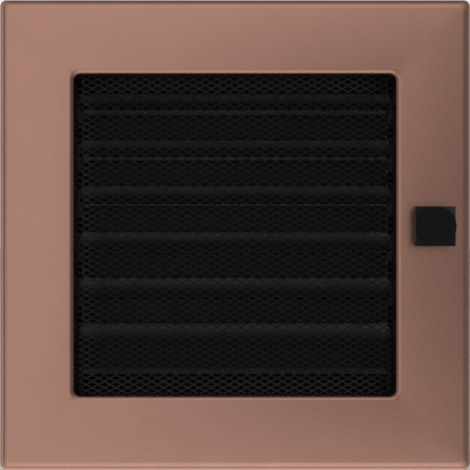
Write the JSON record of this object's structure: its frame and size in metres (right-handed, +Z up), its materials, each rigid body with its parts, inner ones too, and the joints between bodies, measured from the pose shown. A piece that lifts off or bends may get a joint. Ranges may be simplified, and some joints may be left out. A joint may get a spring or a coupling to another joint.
{
  "type": "louvre vent cover",
  "caption": "Square wall vent cover: copper pressed face, black diamond mesh, horizontal louvre blades worked by a sliding side knob, and a wall sleeve.",
  "frame": {"origin": "centre of the opening, in the plane of the wall that the face's edge rests on", "axes": "+Z up, -Y out of the wall towards the room, +X to the knob's side"},
  "size_m": [0.172, 0.0651, 0.172],
  "materials": {
    "copper_face": "satin copper electroplate",
    "mesh_black": "black enamel",
    "blade_black": "satin black enamel",
    "cassette_black": "black enamel",
    "zinc_plated_steel": "zinc plated",
    "die_cast_zinc": "plain",
    "spring_steel": "plain",
    "galvanised_sheet": "galvanised",
    "black_nylon": "natural",
    "nickel_magnet": "nickel plated",
    "black_plastic": "matt",
    "matt_black_disc": "matt",
    "grey_felt": "felt"
  },
  "bodies": {
    "housing": {"front_fascia": "copper_face", "mesh_panel": "mesh_black", "cassette_left_side": "cassette_black", "cassette_right_side": "cassette_black", "cassette_top": "cassette_black", "cassette_bottom": "cassette_black", "bottom_baffle": "blade_black", "pivot_bush_left_1": "black_nylon", "pivot_bush_left_2": "black_nylon", "pivot_bush_left_3": "black_nylon", "pivot_bush_left_4": "black_nylon", "pivot_bush_left_5": "black_nylon", "pivot_bush_left_6": "black_nylon", "pivot_bush_right_1": "black_nylon", "pivot_bush_right_2": "black_nylon", "pivot_bush_right_3": "black_nylon", "pivot_bush_right_4": "black_nylon", "pivot_bush_right_5": "black_nylon", "pivot_bush_right_6": "black_nylon", "stud_nut_1": "zinc_plated_steel", "stud_nut_2": "zinc_plated_steel", "stud_nut_3": "zinc_plated_steel", "stud_nut_4": "zinc_plated_steel", "spring_clip_upper_left": "spring_steel", "spring_clip_upper_right": "spring_steel", "spring_clip_lower_left": "spring_steel", "spring_clip_lower_right": "spring_steel", "wall_sleeve": "galvanised_sheet"},
    "blade_1": {"louvre_blade_1": "blade_black", "pivot_rod_1": "zinc_plated_steel", "crank_arm_1": "die_cast_zinc"},
    "blade_2": {"louvre_blade_2": "blade_black", "pivot_rod_2": "zinc_plated_steel", "crank_arm_2": "die_cast_zinc"},
    "blade_3": {"louvre_blade_3": "blade_black", "pivot_rod_3": "zinc_plated_steel", "crank_arm_3": "die_cast_zinc"},
    "blade_4": {"louvre_blade_4": "blade_black", "pivot_rod_4": "zinc_plated_steel", "crank_arm_4": "die_cast_zinc"},
    "blade_5": {"louvre_blade_5": "blade_black", "pivot_rod_5": "zinc_plated_steel", "crank_arm_5": "die_cast_zinc"},
    "blade_6": {"louvre_blade_6": "blade_black", "pivot_rod_6": "zinc_plated_steel", "crank_arm_6": "die_cast_zinc"},
    "link": {"link_bar": "zinc_plated_steel", "magnet_arm": "die_cast_zinc", "follower_cup": "die_cast_zinc", "follower_magnet": "nickel_magnet"},
    "knob": {"knob_glide_pad": "grey_felt", "knob_magnet": "nickel_magnet", "knob_holder": "black_plastic", "knob_cap": "black_plastic", "knob_front_disc": "matt_black_disc"}
  },
  "joints": [
    {"name": "blade_1_pivot", "type": "hinge", "parent": "housing", "child": "blade_1", "pos_m": [0, 0.0165, 0.0564], "axis": [1, 0, 0], "range_deg": [-52, 0]},
    {"name": "blade_2_pivot", "type": "hinge", "parent": "housing", "child": "blade_2", "pos_m": [0, 0.0165, 0.03887], "axis": [1, 0, 0], "range_deg": [-52, 0]},
    {"name": "blade_3_pivot", "type": "hinge", "parent": "housing", "child": "blade_3", "pos_m": [0, 0.0165, 0.02134], "axis": [1, 0, 0], "range_deg": [-52, 0]},
    {"name": "blade_4_pivot", "type": "hinge", "parent": "housing", "child": "blade_4", "pos_m": [0, 0.0165, 0.00381], "axis": [1, 0, 0], "range_deg": [-52, 0]},
    {"name": "blade_5_pivot", "type": "hinge", "parent": "housing", "child": "blade_5", "pos_m": [0, 0.0165, -0.01372], "axis": [1, 0, 0], "range_deg": [-52, 0]},
    {"name": "blade_6_pivot", "type": "hinge", "parent": "housing", "child": "blade_6", "pos_m": [0, 0.0165, -0.03125], "axis": [1, 0, 0], "range_deg": [-52, 0]},
    {"name": "link_hinge", "type": "hinge", "parent": "blade_1", "child": "link", "pos_m": [0.0637, 0.02459, 0.06035], "axis": [1, 0, 0], "range_deg": [0, 52]},
    {"name": "knob_slide", "type": "slide", "parent": "housing", "child": "knob", "axis": [0, 0, 1], "range_m": [-0.0079, 0]}
  ],
  "couplings": [
    {"joint": "blade_2_pivot", "follows": "blade_1_pivot", "ratio": 1},
    {"joint": "blade_3_pivot", "follows": "blade_1_pivot", "ratio": 1},
    {"joint": "blade_4_pivot", "follows": "blade_1_pivot", "ratio": 1},
    {"joint": "blade_5_pivot", "follows": "blade_1_pivot", "ratio": 1},
    {"joint": "blade_6_pivot", "follows": "blade_1_pivot", "ratio": 1},
    {"joint": "link_hinge", "follows": "blade_1_pivot", "ratio": -1},
    {"joint": "knob_slide", "follows": "blade_1_pivot", "m_per_rad": 0.0086943}
  ]
}
